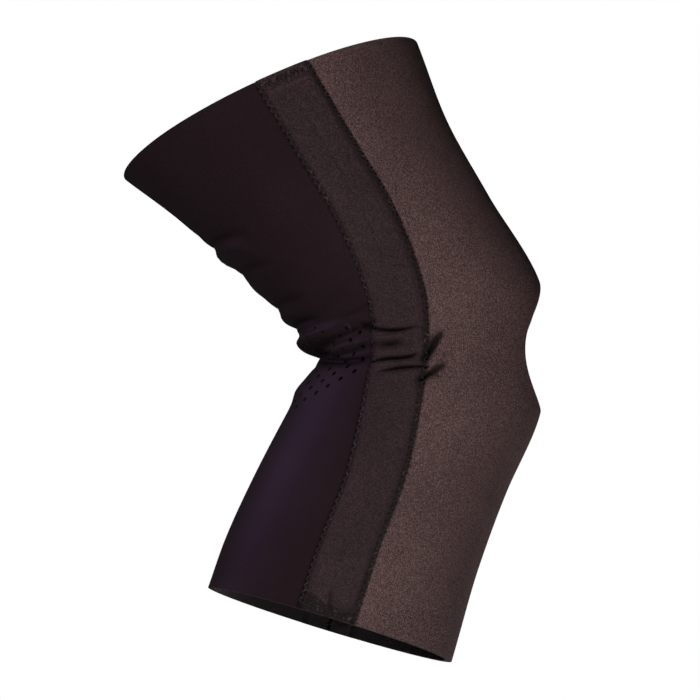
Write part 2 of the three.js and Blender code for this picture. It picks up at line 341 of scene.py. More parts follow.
def sharpen(made, pairs):
    """Marks these edges, given as pairs of vertices, sharp."""
    mesh = made.data
    ends = np.zeros(len(mesh.edges) * 2, np.int64)
    mesh.edges.foreach_get("vertices", ends)
    ends = np.sort(ends.reshape(-1, 2), axis=1)
    wanted = np.sort(np.asarray(pairs, np.int64), axis=1)
    size = len(mesh.vertices)
    sharp = np.isin(ends[:, 0] * size + ends[:, 1], wanted[:, 0] * size + wanted[:, 1])
    attribute = mesh.attributes.new("sharp_edge", "BOOLEAN", "EDGE")
    attribute.data.foreach_set("value", sharp)


def shell(name, station, angle, keep, outer, inner, crease, materials, weld=None, cover=COVER):
    """A closed shell of cloth over a grid of places. keep says which of the grid's faces are there.
    outer and inner are the heights of its two faces, crease is how deep in a crease each place is, and
    cover is how thick the knit is on each side of the cut edge's core. Column weld + 1 is merged into
    column weld where the two meet. materials are for the outer face, the core and the inner face."""
    index = np.arange(station.size).reshape(station.shape)
    if weld is not None:
        meets = np.isclose(angle[:, weld], angle[:, weld + 1])
        index[meets, weld + 1] = index[meets, weld]
    quads = np.stack([index[:-1, :-1], index[1:, :-1], index[1:, 1:], index[:-1, 1:]], axis=-1)[keep]
    used, quads = np.unique(quads, return_inverse=True)
    quads = quads.reshape(-1, 4)
    count = len(used)
    flat_station, flat_angle = station.ravel()[used], angle.ravel()[used]
    top, bottom = outer.ravel()[used], inner.ravel()[used]

    directed = np.concatenate([quads[:, [k, (k + 1) % 4]] for k in range(4)])
    keys = directed[:, 0] * count + directed[:, 1]
    backwards = directed[:, 1] * count + directed[:, 0]
    rim = directed[~np.isin(keys, backwards)]
    on_rim, rim_index = np.unique(rim, return_inverse=True)
    rim_index = rim_index.reshape(-1, 2)

    layers = [
        place(flat_station, flat_angle, top),
        place(flat_station, flat_angle, bottom),
        place(flat_station[on_rim], flat_angle[on_rim], top[on_rim] - cover),
        place(flat_station[on_rim], flat_angle[on_rim], bottom[on_rim] + cover),
    ]
    first_mid, second_mid = 2 * count, 2 * count + len(on_rim)
    a, b = rim[:, 0], rim[:, 1]
    ring_a, ring_b = rim_index[:, 0], rim_index[:, 1]
    bands = [
        np.stack([b, a, first_mid + ring_a, first_mid + ring_b], axis=-1),
        np.stack(
            [first_mid + ring_b, first_mid + ring_a, second_mid + ring_a, second_mid + ring_b], axis=-1
        ),
        np.stack([second_mid + ring_b, second_mid + ring_a, count + a, count + b], axis=-1),
    ]
    faces = np.concatenate([quads, quads[:, ::-1] + count, *bands])
    sizes = [len(quads), len(quads), len(rim), len(rim), len(rim)]
    material_of_face = np.repeat([OUTER, INNER, OUTER, CORE, INNER], sizes)

    beside, down = from_tape(flat_station, within_half(flat_angle)), length_down(flat_station)
    cloth = np.stack([beside, down], axis=-1)
    uv = np.concatenate([cloth, cloth, cloth[on_rim], cloth[on_rim]])
    # The crease depth goes to the outer faces as an attribute for the materials' painted shade; the
    # inside gets none.
    folded = crease.ravel()[used]
    folded = np.concatenate([folded, 0 * folded, folded[on_rim], 0 * folded[on_rim]])
    made = new_object(name, np.concatenate(layers), faces.tolist(), uv, materials)
    made.data.polygons.foreach_set("material_index", material_of_face.astype(np.int32))
    attribute = made.data.attributes.new("crease", "FLOAT", "POINT")
    attribute.data.foreach_set("value", folded.astype(np.float32))
    sharpen(made, np.concatenate([rim, rim + count]))
    made.data.update()
    return made


def tube(name, centres, outward, radius, material):
    """A round thread or wire along these points, with closed ends. outward is a direction across it."""
    ahead = np.gradient(centres, axis=0)
    ahead /= np.linalg.norm(ahead, axis=1, keepdims=True)
    across = np.cross(ahead, outward)
    across /= np.linalg.norm(across, axis=1, keepdims=True)
    up = np.cross(across, ahead)
    turn = np.linspace(0, 2 * math.pi, TUBE_SIDES, endpoint=False)
    ring = np.cos(turn)[None, :, None] * across[:, None] + np.sin(turn)[None, :, None] * up[:, None]
    vertices = (centres[:, None] + radius * ring).reshape(-1, 3)
    rows = np.arange(len(centres) * TUBE_SIDES).reshape(-1, TUBE_SIDES)
    after = np.roll(rows, -1, axis=1)
    quads = np.stack([rows[:-1], after[:-1], after[1:], rows[1:]], axis=-1).reshape(-1, 4)
    ends = [rows[0][::-1], rows[-1]]
    faces = quads.tolist() + [end.tolist() for end in ends]
    around = np.tile(turn * UV_PER_RADIAN, len(centres))
    uv = np.stack([around, np.repeat(lengths_along(centres), TUBE_SIDES)], axis=-1)
    return new_object(name, vertices, faces, uv, [material])


# ---- materials ----

WALE_WIDTH, COURSE_HEIGHT = 1.05 * MM, 0.75 * MM  # of the knit's loops
LOOP_LEAN = 1.3  # how far a loop's legs slope, in courses for each wale
RIB_SHARE, FIBRE_SHARE, PATCH_SHARE = 0.4, 0.3, 0.3  # of the knit, the speckle and the foam's tone
KNIT_SHOWS = 0.04  # in the colour, for each unit of speckle
GRAIN_RELIEF = 2.0  # beside the knit's own
ROUGHNESS_SPREAD = 0.12
NEEDLE_HOLE, NEEDLE_DEPTH = 0.5 * MM, 0.5 * MM
# How much painted shade darkens the sunk band along each tape seam.
SEAM_BAND_SHADE = 0.4
SHEEN_TINT = (0.8, 0.6, 0.6, 1)
THREAD_TWIST = 0.6 * MM  # along the thread, for one turn of its plies
# Noise scales, in waves for each metre.
GRAIN, FIBRE, CLOUD = 1400, 3200, 26
PORES, PORE_PATCHES = 1900, 160
THREAD_GLINTS = 420
SCRATCHES, HAZE = 4200, 90
MOTTLE = 6
MIX_FACTOR, MIX_A, MIX_B, MIX_RESULT = 0, 6, 7, 2  # the Mix node's sockets for colours


class Nodes:
    """A short way to write a material's nodes."""

    def __init__(self, name):
        self.material = bpy.data.materials.new(name)
        self.material.use_nodes = True
        self.tree = self.material.node_tree
        self.shader = self.tree.nodes["Principled BSDF"]

    def add(self, kind, inputs=None, **settings):
        node = self.tree.nodes.new(kind)
        for key, value in settings.items():
            setattr(node, key, value)
        for key, value in (inputs or {}).items():
            if isinstance(value, bpy.types.NodeSocket):
                self.tree.links.new(value, node.inputs[key])
            else:
                node.inputs[key].default_value = value
        return node

    def math(self, operation, a, b=0.0):
        return self.add("ShaderNodeMath", {0: a, 1: b}, operation=operation).outputs[0]

    def weighted(self, a, b, share):
        """a and b added together, b with this share and a with the rest."""
        return self.math("ADD", self.math("MULTIPLY", a, 1 - share), self.math("MULTIPLY", b, share))

    def noise(self, vector, scale, detail=2.0, roughness=0.5):
        inputs = {"Vector": vector, "Scale": scale, "Detail": detail, "Roughness": roughness}
        return self.add("ShaderNodeTexNoise", inputs).outputs["Fac"]

    def ramp(self, value, *stops):
        """stops are (position, colour)."""
        node = self.add("ShaderNodeValToRGB", {"Fac": value})
        while len(node.color_ramp.elements) < len(stops):
            node.color_ramp.elements.new(0.5)
        for element, (position, colour) in zip(node.color_ramp.elements, stops):
            element.position = position
            element.color = (*colour, 1.0)
        return node.outputs["Color"]

    def multiply(self, a, b):
        """The product of two colours."""
        inputs = {MIX_FACTOR: 1.0, MIX_A: a, MIX_B: b}
        node = self.add("ShaderNodeMix", inputs, data_type="RGBA", blend_type="MULTIPLY")
        return node.outputs[MIX_RESULT]

    def bump(self, height, distance, strength=1.0, normal=None):
        inputs = {"Height": height, "Distance": distance, "Strength": strength}
        if normal is not None:
            inputs["Normal"] = normal
        return self.add("ShaderNodeBump", inputs).outputs["Normal"]

    def set(self, **values):
        """Sets or links the shader's own sockets, with _ for the spaces in their names."""
        for key, value in values.items():
            socket = self.shader.inputs[key.replace("_", " ")]
            if isinstance(value, bpy.types.NodeSocket):
                self.tree.links.new(value, socket)
            else:
                socket.default_value = value
        return self.material


def seam_painted_shade(n, beside, down):
    """Where the tape's zigzags bite into the cloth: painted shade in the needle holes and along the sunk
    band round them.
    """
    off_middle = n.math("SUBTRACT", n.math("ABSOLUTE", beside), SEAM_MIDDLE)
    holes = None
    for side, phase in ((-1, 0.0), (1, 0.5)):
        across = n.math("DIVIDE", n.math("SUBTRACT", off_middle, side * SEAM_REACH), NEEDLE_HOLE)
        turn = n.math("ADD", n.math("DIVIDE", down, SEAM_PITCH), phase)
        turn = n.math("SUBTRACT", n.math("FRACT", turn), 0.5)
        along = n.math("MULTIPLY", turn, SEAM_PITCH / NEEDLE_HOLE)
        squared = n.math("ADD", n.math("MULTIPLY", across, across), n.math("MULTIPLY", along, along))
        hole = n.math("EXPONENT", n.math("MULTIPLY", squared, -1.0))
        holes = hole if holes is None else n.math("ADD", holes, hole)
    spread = n.math("DIVIDE", off_middle, 1.5 * SEAM_REACH)
    fourth_power = n.math("POWER", n.math("ABSOLUTE", spread), 4.0)
    band = n.math("EXPONENT", n.math("MULTIPLY", fourth_power, -1.0))
    return n.math("MINIMUM", holes, 1.0), band


def darkened(n, light, amount, share):
    """light, less share of it where amount is 1."""
    return n.math("MULTIPLY", light, n.math("SUBTRACT", 1.0, n.math("MULTIPLY", amount, share)))


def jersey(
    name,
    dark,
    middle,
    light,
    knit_depth,
    sheen,
    roughness,
    speckle,
    gloss,
    prick,
    fold_shade,
    gloss_tint=(1, 1, 1, 1),
):
    """A fine weft knit: rows of small V loops, with the loops' uneven shine painted into the colour as a
    speckle. prick is how strong the needle holes and their painted shade are, and fold_shade how much
    painted shade darkens the creases."""
    n = Nodes(name)
    uv = n.add("ShaderNodeUVMap", uv_map="cloth").outputs["UV"]
    parts = n.add("ShaderNodeSeparateXYZ", {"Vector": uv})
    beside, down = parts.outputs["X"], parts.outputs["Y"]
    wale = n.math("MULTIPLY", beside, 1 / WALE_WIDTH)
    course = n.math("MULTIPLY", down, 1 / COURSE_HEIGHT)
    leg = n.math("ABSOLUTE", n.math("SUBTRACT", n.math("FRACT", wale), 0.5))
    leaning = n.math("ADD", course, n.math("MULTIPLY", leg, LOOP_LEAN))
    loops = n.math("SINE", n.math("MULTIPLY", leaning, 2 * math.pi))
    ribs = n.math("SINE", n.math("MULTIPLY", wale, 2 * math.pi))
    knit = n.weighted(loops, ribs, RIB_SHARE)

    position = n.add("ShaderNodeTexCoord").outputs["Object"]
    grain = n.noise(position, GRAIN, 2.0, 0.6)
    fibre = n.noise(position, FIBRE, 2.0, 0.7)
    cloud = n.noise(position, CLOUD, 3.0, 0.55)
    mixed = n.weighted(grain, fibre, FIBRE_SHARE)
    # The speckle paints the loops' uneven shine into the colour as lighter and darker specks.
    centred = n.math("MULTIPLY", n.math("SUBTRACT", mixed, 0.5), speckle)
    shown = n.math("ADD", n.math("ADD", centred, 0.5), n.math("MULTIPLY", knit, KNIT_SHOWS * speckle))
    colour = n.ramp(shown, (0.3, dark), (0.5, middle), (0.72, light))
    clouds = n.ramp(cloud, (0.3, (0.86, 0.86, 0.87)), (0.7, (1.08, 1.06, 1.05)))
    colour = n.multiply(colour, clouds)

    # Painted shade along the seams: the sunk band and the needle holes darken the colour.
    holes, band = seam_painted_shade(n, beside, down)
    # Painted shade in the creases, from the crease attribute.
    crease = n.add("ShaderNodeAttribute", attribute_name="crease").outputs["Fac"]
    shade = darkened(n, 1.0, crease, fold_shade)
    shade = darkened(n, shade, band, SEAM_BAND_SHADE)
    shade = darkened(n, shade, holes, prick)
    shade = n.add("ShaderNodeCombineColor", {0: shade, 1: shade, 2: shade}).outputs[0]
    colour = n.multiply(colour, shade)

    pricked = n.bump(n.math("MULTIPLY", holes, -1.0), NEEDLE_DEPTH * prick)
    surface = n.math("ADD", knit, n.math("MULTIPLY", grain, GRAIN_RELIEF))
    textured = n.bump(surface, knit_depth, 0.8, pricked)
    varied = n.math("MULTIPLY", mixed, 2 * ROUGHNESS_SPREAD)
    rough = n.math("ADD", roughness - ROUGHNESS_SPREAD, varied)
    return n.set(
        Base_Color=colour,
        Roughness=rough,
        Normal=textured,
        Sheen_Weight=sheen,
        Sheen_Roughness=0.4,
        Sheen_Tint=SHEEN_TINT,
        Specular_IOR_Level=gloss,
        Specular_Tint=gloss_tint,
    )


def foam(name):
    """Closed-cell neoprene foam where it is cut: near black, with fine pores."""
    n = Nodes(name)
    position = n.add("ShaderNodeTexCoord").outputs["Object"]
    cells = n.add("ShaderNodeTexVoronoi", {"Vector": position, "Scale": PORES}, feature="F1").outputs[0]
    patch = n.noise(position, PORE_PATCHES, 2.0)
    tone = n.weighted(cells, patch, PATCH_SHARE)
    colour = n.ramp(tone, (0.15, (0.004, 0.004, 0.004)), (0.8, (0.022, 0.02, 0.02)))
    pitted = n.bump(cells, 0.15 * MM)
    return n.set(Base_Color=colour, Roughness=0.85, Normal=pitted, Specular_IOR_Level=0.2)


def thread_material(name, colour, roughness):
    """Twisted nylon thread, with painted glints that make a stitch here and there brighter."""
    n = Nodes(name)
    uv = n.add("ShaderNodeUVMap", uv_map="cloth").outputs["UV"]
    parts = n.add("ShaderNodeSeparateXYZ", {"Vector": uv})
    around = n.math("DIVIDE", parts.outputs["X"], UV_PER_RADIAN)
    twist = n.math("ADD", around, n.math("MULTIPLY", parts.outputs["Y"], 2 * math.pi / THREAD_TWIST))
    ply = n.math("SINE", twist)
    tone = n.math("ADD", n.math("MULTIPLY", ply, 0.25), 0.6)
    dark = tuple(0.45 * c for c in colour)
    shade = n.ramp(tone, (0.3, dark), (0.9, colour))
    # Painted glints: in spots the colour is made up to five times brighter.
    glints = n.noise(n.add("ShaderNodeTexCoord").outputs["Object"], THREAD_GLINTS, 1.0)
    painted_glint = n.ramp(glints, (0.55, (1, 1, 1)), (0.68, (5, 5, 5)))
    shade = n.multiply(shade, painted_glint)
    return n.set(
        Base_Color=shade,
        Roughness=roughness,
        Normal=n.bump(ply, 0.08 * MM),
        Sheen_Weight=0.05,
        Specular_IOR_Level=0.3,
    )


def steel(name, colour, roughness):
    """Drawn spring steel with fine lengthwise scratches."""
    n = Nodes(name)
    position = n.add("ShaderNodeTexCoord").outputs["Object"]
    stretched = n.add("ShaderNodeMapping", {"Vector": position, "Scale": (1, 1, 0.08)}).outputs["Vector"]
    scratches = n.noise(stretched, SCRATCHES, 2.0)
    haze = n.noise(position, HAZE, 3.0)
    shade = n.ramp(haze, (0.3, tuple(0.8 * c for c in colour)), (0.75, colour))
    rough = n.math("ADD", roughness - 0.08, n.math("MULTIPLY", scratches, 0.2))
    return n.set(
        Base_Color=shade,
        Metallic=1.0,
        Roughness=rough,
        Normal=n.bump(scratches, 0.03 * MM, 0.5),
    )


FRONT_KNIT = jersey(
    "front_knit",
    dark=(0.029, 0.0174, 0.0172),
    middle=(0.067, 0.0415, 0.0410),
    light=(0.145, 0.0940, 0.0930),
    knit_depth=0.10 * MM,
    sheen=0.05,
    roughness=0.75,
    speckle=1.6,
    gloss=0.2,
    prick=0.7,
    fold_shade=0.85,
)
TAPE_KNIT = jersey(
    "tape_knit",
    dark=(0.0128, 0.0080, 0.0088),
    middle=(0.0230, 0.0142, 0.0158),
    light=(0.049, 0.0318, 0.0345),
    knit_depth=0.09 * MM,
    sheen=0.05,
    roughness=0.75,
    speckle=1.6,
    gloss=0.2,
    prick=0.6,
    fold_shade=0.85,
)
BACK_KNIT = jersey(
    "back_knit",
    dark=(0.0105, 0.0064, 0.0074),
    middle=(0.0130, 0.0081, 0.0094),
    light=(0.0180, 0.0115, 0.0134),
    knit_depth=0.04 * MM,
    sheen=0.0,
    roughness=0.48,
    speckle=0.5,
    gloss=0.14,
    prick=0.3,
    fold_shade=0.5,
    gloss_tint=(0.8, 0.5, 1, 1),
)
LINING = jersey(
    "lining",
    dark=(0.009, 0.008, 0.009),
    middle=(0.018, 0.015, 0.017),
    light=(0.036, 0.031, 0.034),
    knit_depth=0.12 * MM,
    sheen=0.1,
    roughness=0.85,
    speckle=1.0,
    gloss=0.2,
    prick=0.7,
    fold_shade=0,
)
FOAM = foam("cut_foam")
THREAD = thread_material("dark_thread", (0.015, 0.0103, 0.0115), roughness=0.55)
STAY_STEEL = steel("spring_steel", (0.55, 0.56, 0.57), roughness=0.35)
CAP_STEEL = steel("cap_steel", (0.68, 0.69, 0.7), roughness=0.28)


# ---- panels ----

# Extra rows where the opening's edge turns fast, at its top and bottom, and the room left round them.
ROWS_AT_HOLE = [3.0, 3.004, 3.014, 4.986, 4.996, 5.0]
ROW_ROOM = 0.008
# The columns from the opening's edge to the tape, which are finer beside the tape.
COARSE_SHARES, FINE_SHARES = np.linspace(0, 0.7, 42), np.linspace(0.7, 1, 36)
BACK_COLUMNS = 205


def bends(made, slot, *nodes):
    """This piece stands for these CAD nodes, which are hidden, and its placing is baked into its mesh.
    """
    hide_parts(*nodes)
    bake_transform(made)
    return made


def front_panel():
    """One piece of neoprene round the front, with the kneecap opening cut out."""
    rows = rows_down(angle=70, steps=[(0, 1.6 * MM), (3.6, 0.95 * MM), (5.1, 1.6 * MM)])
    clear = np.all(np.abs(rows[:, None] - ROWS_AT_HOLE) > ROW_ROOM, axis=1)
    rows = np.sort(np.concatenate([rows[clear], ROWS_AT_HOLE]))
    middle, half_height = (HOLE_TOP + HOLE_BOTTOM) / 2, (HOLE_BOTTOM - HOLE_TOP) / 2
    drop = np.clip((rows - middle) / half_height, -1, 1)
    hole_edge = HOLE_HALF_ANGLE * np.sqrt(1 - drop**2) * (1 + HOLE_SKEW * drop)
    tape_edge = beside_tape(rows, -BUTT_HALF_GAP)
    share = np.concatenate([COARSE_SHARES[:-1], FINE_SHARES])
    left = hole_edge[:, None] + (tape_edge - hole_edge)[:, None] * share
    angle = np.concatenate([-left[:, ::-1], left], axis=1)
    station = np.repeat(rows[:, None], angle.shape[1], axis=1)
    keep = np.ones((len(rows) - 1, angle.shape[1] - 1), bool)
    weld = len(share) - 1
    keep[:, weld] = False
    lifted, crease = relief(station, angle)
    materials = [FRONT_KNIT, FOAM, LINING]
    made = shell("front_panel", station, angle, keep, lifted, lifted - WALL, crease, materials, weld)
    nodes = ["thigh_front_panel", "calf_front_panel", "right_patella_bridge", "left_patella_bridge"]
    return bends(made, "front_neoprene", *nodes)


# The patch of punched holes: an oval round a station, with a hole every pitch down each of its columns.
PUNCH_RADIUS = 1.2 * MM
PUNCH_PITCH, PUNCH_SPACING = 6.8 * MM, 6.3 * MM  # down the columns, and from column to column
PUNCH_PHASE = 1.3 * MM
PUNCH_STATION = 4.15
PUNCH_HALF_WIDTH, PUNCH_UP, PUNCH_DOWN = 60 * MM, 20 * MM, 32 * MM
KNEE_RADIUS = 57 * MM  # round the back of the knee
NO_HOLE = 1.0  # metres, the distance given where there is none
SMALLEST_GAP = 0.05 * MM  # from a hole's middle, so that nothing is divided by zero


def nearest_hole(across, down):
    """How far off the punched hole nearest to each place is, and where its middle is. Every other column
    is half a pitch lower."""
    best = [np.full(across.shape, NO_HOLE), across, down]
    for parity in (0, 1):
        column = 2 * np.round((across / PUNCH_SPACING - 0.5 - parity) / 2) + parity
        middle_across = (column + 0.5) * PUNCH_SPACING
        offset = PUNCH_PHASE + PUNCH_PITCH / 2 * (1 - parity)
        middle_down = np.round((down - offset) / PUNCH_PITCH) * PUNCH_PITCH + offset
        reach = np.where(middle_down > 0, PUNCH_DOWN, PUNCH_UP)
        inside = np.hypot(middle_across / PUNCH_HALF_WIDTH, middle_down / reach) < 1
        gap = np.where(inside, np.hypot(across - middle_across, down - middle_down), NO_HOLE)
        closer = gap < best[0]
        best = [np.where(closer, new, old) for new, old in zip([gap, middle_across, middle_down], best)]
    return best


def punch(station, angle, keep):
    """Takes the patch of holes out of the back panel, and moves the places round each onto a circle."""
    across = np.radians(angle - 180) * KNEE_RADIUS
    steps = steps_along(place(station, angle))
    down = np.concatenate([np.zeros((1, station.shape[1])), np.cumsum(steps, axis=0)])
    down = down - np.array([np.interp(PUNCH_STATION, station[:, 0], column) for column in down.T])

    def of_faces(values):
        return (values[:-1, :-1] + values[1:, :-1] + values[1:, 1:] + values[:-1, 1:]) / 4

    cut = nearest_hole(of_faces(across), of_faces(down))[0] < PUNCH_RADIUS
    touches_cut = np.zeros(station.shape, bool)
    for i, j in ((0, 0), (0, 1), (1, 0), (1, 1)):
        touches_cut[i : i + cut.shape[0], j : j + cut.shape[1]] |= cut
    gap, middle_across, middle_down = nearest_hole(across, down)
    gap = np.maximum(gap, SMALLEST_GAP)
    moves = touches_cut & (gap < 2 * PUNCH_RADIUS)
    stretch = np.where(moves, PUNCH_RADIUS / gap - 1, 0)
    per_station = np.gradient(down, axis=0) / np.gradient(station, axis=0)
    angle = angle + np.degrees((across - middle_across) * stretch / KNEE_RADIUS)
    station = station + (down - middle_down) * stretch / per_station
    return station, angle, keep & ~cut


def back_panel():
    """One piece of smoother neoprene round the back, punched with small holes behind the knee."""
    rows = rows_down(angle=150, steps=[(0, 1.7 * MM), (2.7, 0.7 * MM), (5.4, 1.7 * MM)])
    edge = beside_tape(rows, BUTT_HALF_GAP)
    share = np.linspace(0, 1, BACK_COLUMNS)
    angle = edge[:, None] + (360 - 2 * edge)[:, None] * share
    station = np.repeat(rows[:, None], len(share), axis=1)
    keep = np.ones((len(rows) - 1, len(share) - 1), bool)
    station, angle, keep = punch(station, angle, keep)
    lifted, crease = relief(station, within_half(angle))
    materials = [BACK_KNIT, FOAM, LINING]
    made = shell("back_panel", station, angle, keep, lifted, lifted - WALL, crease, materials)
    return bends(made, "back_neoprene", "thigh_back_panel", "popliteal_panel", "calf_back_panel")


# ---- tapes, threads and stays ----

# The cloth over a stay is level up to one distance outside the stay's flat middle, and down on the panel
# at another. The caps are wider and higher than the stays, so it is level for longer there.
STAY_FLAT = 3.3 * MM
LEVEL_AT_CAPS, LEVEL_BETWEEN_CAPS = 1.9 * MM, 0.9 * MM
DOWN_AT = 5.6 * MM
ROUNDING = 0.4  # of the slope between them, from 0 where it is straight to 1
LOWER_BETWEEN_CAPS = 0.28  # the share by which the cloth lies lower where there are no caps
UPPER_CAPS_END, LOWER_CAPS_START = (0.55, 0.85), (7.0, 7.2)  # from station to station
CAP_END = 1.8 * MM  # past the stay's end
REAR_END_SLOPE = 0.5  # below the rear stay the cloth comes down half as steeply
VALLEY_DEPTH, VALLEY_WIDTH = 0.07, 1.6 * MM  # between the two stays

# The tape's mesh, and the teeth into which the zigzag pulls its edges.
TAPE_ROW, FIRST_ROW_OFFSET = 0.6 * MM, 0.01 * MM
TAPE_COLUMNS = 53
TAPE_COVER = 0.25 * MM
TOOTH = 0.9 * MM

# The sewn-down bottom of the pocket, which starts higher under the rear stay, and how much darker it
# is painted: partly shade round the pocket's end, partly the dense dark stitching there.
SEWN_FROM, SEWN_FULL, SEWN_RISE = 7.86, 7.89, 0.12
SEWN_SHADE = 0.6


def between_caps(station):
    """1 where the stays are bare and 0 where the caps are."""
    return smooth(station, *UPPER_CAPS_END) * (1 - smooth(station, *LOWER_CAPS_START))


def rearward(share):
    """About 0 in front of the tape's middle line and 1 at its rear edge. share is -1 to 1 across it."""
    return smooth(share, -0.1, 0.9)


def tape_lift(station, distance):
    """The height of the tape's underside: flat where it is sewn down, raised over the two stays."""
    along = length_down(station)
    slack = between_caps(station)
    raised = np.zeros(np.broadcast(station, distance).shape)
    for where, sign in TAPE_SIGNS.items():
        first, last = length_down(np.array(STAY_ENDS[where]))
        past = along - np.clip(along, first - CAP_END, last + CAP_END)
        if where == "rear":
            past = past * np.where(past > 0, REAR_END_SLOPE, 1)
        beside = np.abs(distance - sign * STAY_SPACING / 2)
        from_stay = np.hypot(np.maximum(beside - STAY_FLAT, 0), past)
        level = LEVEL_AT_CAPS + (LEVEL_BETWEEN_CAPS - LEVEL_AT_CAPS) * slack
        straight = np.clip((from_stay - level) / (DOWN_AT - level), 0, 1)
        over = 1 - ((1 - ROUNDING) * straight + ROUNDING * smooth(from_stay, level, DOWN_AT))
        raised = np.maximum(raised, over * (1 - LOWER_BETWEEN_CAPS * slack))
    valley = 1 - VALLEY_DEPTH * slack * np.exp(-((distance / VALLEY_WIDTH) ** 2))
    return TAPE_LIFT + (POCKET_LIFT - TAPE_LIFT) * raised * valley


def sewn_end(station, distance):
    """How far each place is into the sewn-down bottom of the pocket, from 0 to 1."""
    return smooth(station + SEWN_RISE * rearward(distance / TAPE_HALF_WIDTH), SEWN_FROM, SEWN_FULL)


def tape(name, side):
    """The cloth tape over the panels' joint, sewn down along both edges to hold the stays."""
    rows = station_at(np.arange(0, TAPE_LENGTHS[-1], TAPE_ROW) + FIRST_ROW_OFFSET)
    rows = np.concatenate([[0], rows[1:-1], [CALF_RIM]])
    share = np.linspace(-1, 1, TAPE_COLUMNS)
    zigzag = np.abs((length_down(rows) / SEAM_PITCH + 0.5) % 1 - 0.5)
    half = TAPE_HALF_WIDTH + TOOTH * (zigzag - 0.25)
    distances = half[:, None] * share
    if side < 0:
        distances = distances[:, ::-1]
    station = np.repeat(rows[:, None], len(share), axis=1)
    angle = side * beside_tape(station, distances)
    lifted, crease = relief(station, angle)
    # The pocket's sewn-down bottom joins the creases' painted shade.
    crease = np.maximum(crease, SEWN_SHADE * sewn_end(station, distances))
    under = lifted + tape_lift(station, distances)
    keep = np.ones((len(rows) - 1, len(share) - 1), bool)
    materials = [TAPE_KNIT, FOAM, LINING]
    outer = under + TAPE_THICKNESS
    made = shell(f"{name}_tape", station, angle, keep, outer, under, crease, materials, cover=TAPE_COVER)
    zones = [f"{name}_{zone}_tape" for zone in ("thigh", "knee", "calf")]
    return bends(made, "tape_fabric", *zones)


THREAD_RADIUS = 0.3 * MM
# In radii: how far a thread rises between its needle holes, and how deep in the cloth it starts.
STITCH_RISE, STITCH_SINK = 1.4, 0.8
PER_STITCH = 6  # points along each stitch
PANEL_SEAM_REACH, PANEL_SEAM_PITCH = 2.1 * MM, 3.2 * MM
PANEL_SEAM_SINK = 0.02 * MM
# Where a stitch comes down off the tape's edge, from it.
EDGE_SLOPE_START, EDGE_SLOPE_END = -0.3 * MM, 0.7 * MM


def seam_ground(station, distance):
    """The cloth's top under a stitch: the tape's, sloping off its edge to the panel's."""
    past_edge = np.abs(distance) - TAPE_HALF_WIDTH
    on_tape = 1 - smooth(past_edge, EDGE_SLOPE_START, EDGE_SLOPE_END)
    return on_tape * (tape_lift(station, distance) + TAPE_THICKNESS)


def inner_face(station, distance):
    """The panels' inside, which is the same distance in everywhere."""
    return -WALL - PANEL_SEAM_SINK


def sew(name, side, station, distance, arch, ground):
    """A thread through these places beside the tape line. arch is 0 where it goes into the cloth at a
    needle hole and 1 where it stands up between two."""
    angle = side * beside_tape(station, distance)
    height = relief(station, angle)[0] + ground(station, distance)
    height = height + THREAD_RADIUS * (STITCH_RISE * arch - STITCH_SINK)
    centres = place(station, angle, height)
    outward = place(station, angle, height + 1 * MM) - centres
    return tube(name, centres, outward, THREAD_RADIUS, THREAD)


def zigzag_down(name, side, middle, reach, pitch, ground):
    """A zigzag the whole length of the sleeve, swinging to each side of a line beside the tape's."""
    half_stitches = int(TAPE_LENGTHS[-1] / (pitch / 2)) - 1
    at = np.linspace(0.5, half_stitches, (half_stitches - 1) * PER_STITCH + 1)
    swing = 1 - 2 * np.abs(at % 2 - 1)
    if middle < 0:
        swing = -swing
    station = station_at(at * pitch / 2)
    return sew(name, side, station, middle + reach * swing, np.sin(math.pi * (at % 1)), ground)


def stitching(name, side):
    """The zigzags along both edges of one tape."""
    for where, sign in TAPE_SIGNS.items():
        thread = f"{name}_{where}_tape_thread"
        made = zigzag_down(thread, side, sign * SEAM_MIDDLE, SEAM_REACH, SEAM_PITCH, seam_ground)
        bends(made, "thread", f"{name}_{where}_tape_seam")


def panel_seam(name, side):
    """The zigzag that butts the front and back panels together, seen on the inside."""
    thread = f"{name}_panel_thread"
    made = zigzag_down(thread, side, 0.0, PANEL_SEAM_REACH, PANEL_SEAM_PITCH, inner_face)
    bends(made, "thread", f"{name}_panel_seam")


# The body each closure rides on, and its rows: from station to station, and how much higher each is at
# the tape's rear edge.
CLOSURES = {
    "top": (
        "thigh_section",
        [(0.04, 0.10, 0.0), (0.07, 0.13, 0.0)],
    ),
    "bottom": (
        "calf_section",
        [(7.86, 7.91, 0.12), (7.88, 7.93, 0.1), (7.9, 7.95, 0.06), (7.92, 7.97, 0.03)],
    ),
}
CLOSURE_HALF_WIDTH = 12.4 * MM
CLOSURE_STITCHES = 22


def closure(name, side, end):
    """Rows of zigzag across the tape, at one end of its pocket."""
    body, rows = CLOSURES[end]
    node = f"{name}_pocket_{end}_stitch"
    at = np.linspace(0, CLOSURE_STITCHES, CLOSURE_STITCHES * PER_STITCH + 1)
    share = 2 * at / CLOSURE_STITCHES - 1
    distance = CLOSURE_HALF_WIDTH * share
    swing, arch = 1 - np.abs(at % 2 - 1), np.sin(math.pi * (at % 1))
    for number, (first, last, rise) in enumerate(rows):
        station = first + (last - first) * swing - rise * rearward(share)
        made = sew(f"{node}_thread_{number}", side, station, distance, arch, seam_ground)
        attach(made, body)
        if number == 0:
            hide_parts(node)


WIRE_RADIUS = 0.26 * MM
COIL_PITCH = 2.2 * MM
PER_TURN = 12  # points round each turn of the wire
STAY_RULER_POINTS = 2000  # down a stay, to measure it by
COIL_SQUARENESS = 0.6  # the power that squares the turns off at their ends
WELL_OUTSIDE = 60 * MM  # the height of the points that say which way is out, for the whole stay


